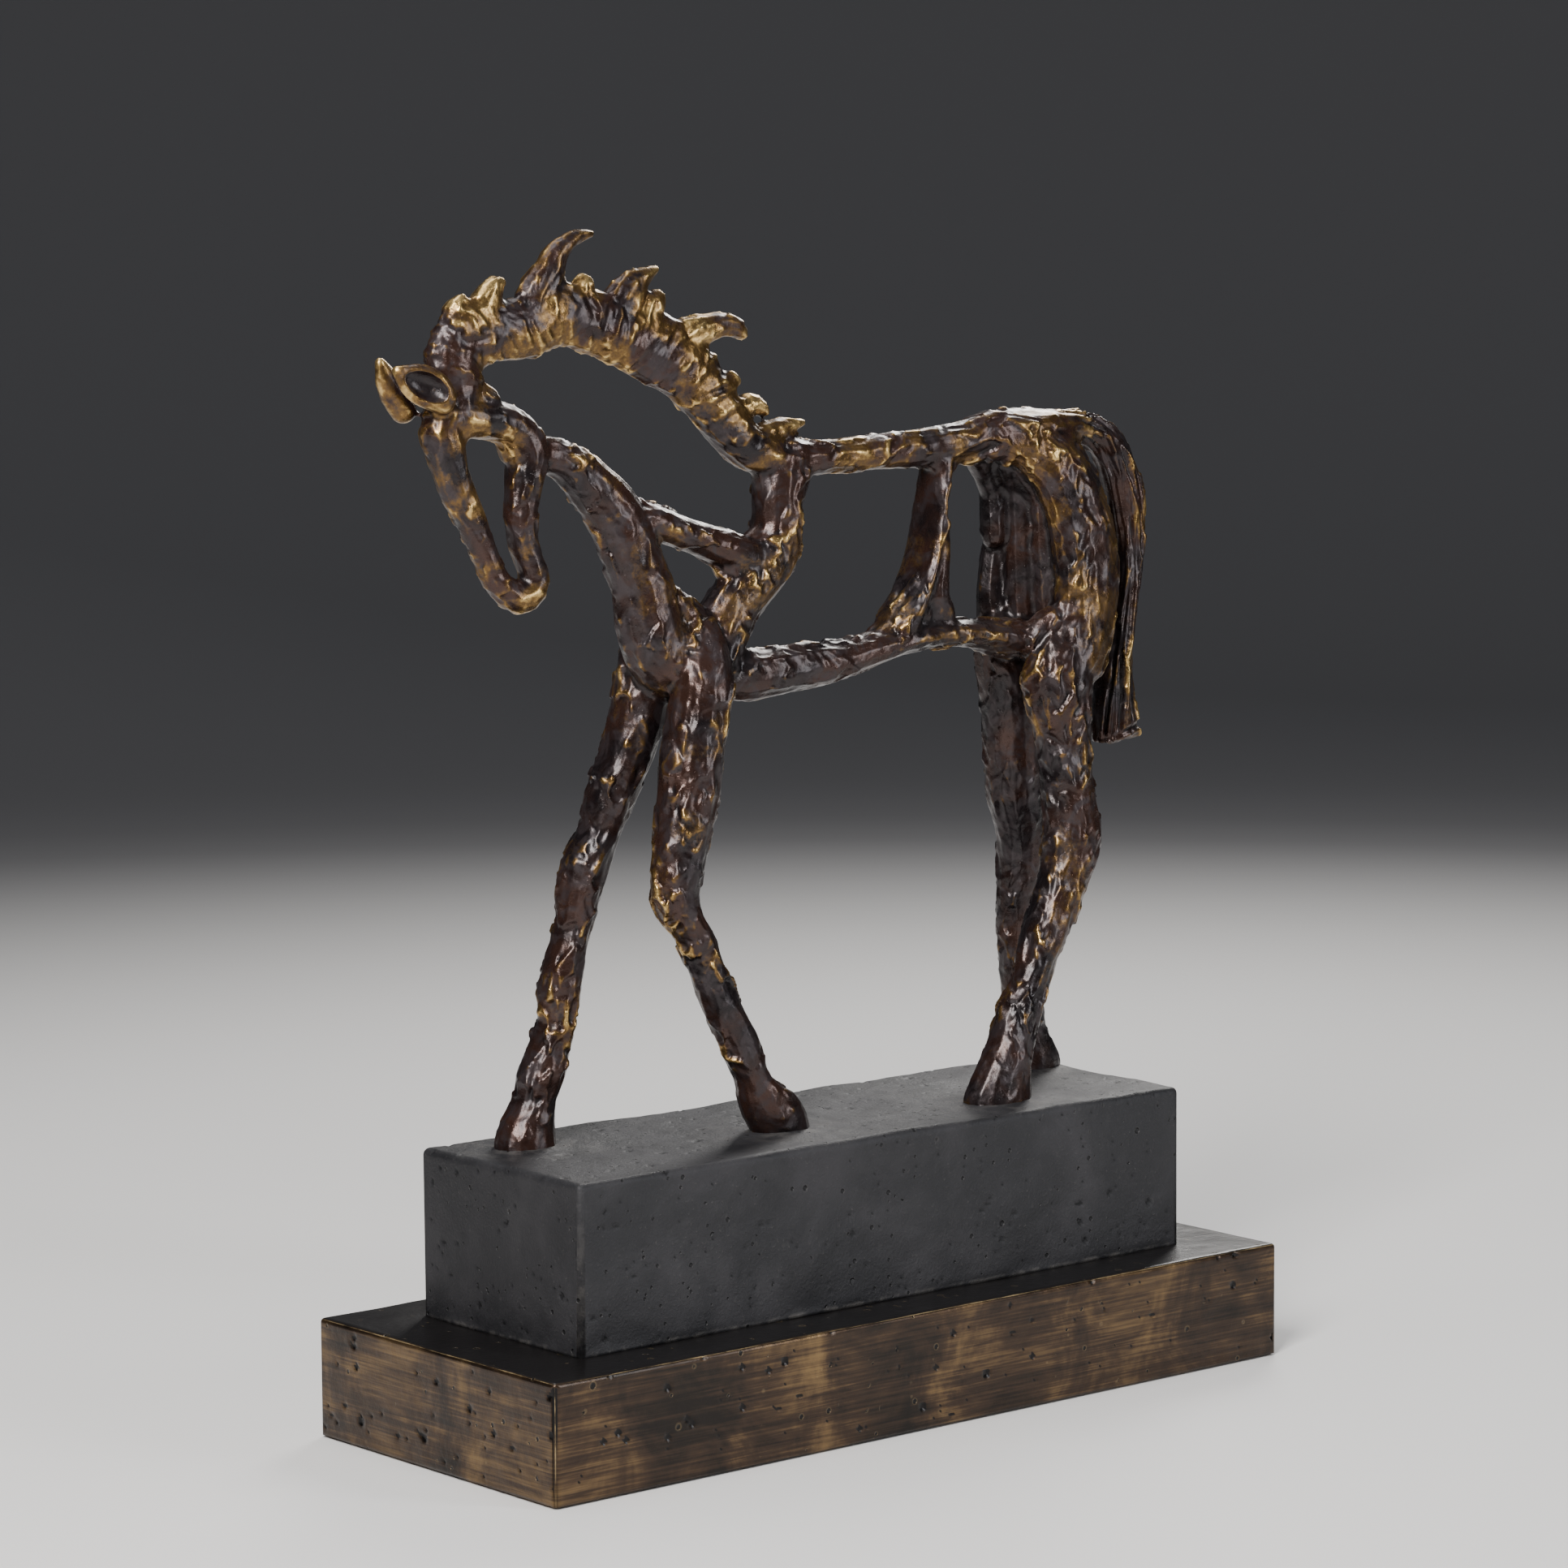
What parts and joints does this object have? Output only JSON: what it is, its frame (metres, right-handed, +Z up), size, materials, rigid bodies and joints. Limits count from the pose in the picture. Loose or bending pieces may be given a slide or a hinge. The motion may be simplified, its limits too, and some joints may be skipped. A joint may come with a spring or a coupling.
{
  "type": "horse statue on plinth",
  "caption": "Openwork walking horse in dark bronze with rubbed gold highlights, on a cast iron block and a bronze slab, felt-padded below.",
  "frame": {"origin": "centre of the felt face that the statue rests on", "axes": "+Z up, the horse faces -X, its left side faces -Y"},
  "size_m": [0.4308, 0.165, 0.5134],
  "materials": {
    "horse_bronze": "dark antiqued bronze with rubbed gold ridges, glossy",
    "slab_bronze": "brushed antiqued bronze with dark pits",
    "plinth_iron": "matte charcoal casting with small pits",
    "steel": "plain zinc-plated steel",
    "felt": "dark green felt"
  },
  "bodies": {
    "root": {"base_slab": "slab_bronze", "base_cover": "steel", "cover_screws": "steel", "felt_pad": "felt", "plinth_block": "plinth_iron", "plinth_screws": "steel", "plinth_washers": "steel", "hoof_studs": "steel", "stud_washers": "steel", "stud_nuts": "steel", "left_fore_leg": "horse_bronze", "right_fore_leg": "horse_bronze", "left_hind_leg": "horse_bronze", "right_hind_leg": "horse_bronze", "chest": "horse_bronze", "shoulder_bar": "horse_bronze", "withers_post": "horse_bronze", "neck_crest": "horse_bronze", "mane_locks": "horse_bronze", "head": "horse_bronze", "left_ear": "horse_bronze", "right_ear": "horse_bronze", "back_bar": "horse_bronze", "belly_bar": "horse_bronze", "girth_rib": "horse_bronze", "croup": "horse_bronze", "left_haunch": "horse_bronze", "right_haunch": "horse_bronze", "rump": "horse_bronze", "tail": "horse_bronze"}
  },
  "joints": []
}
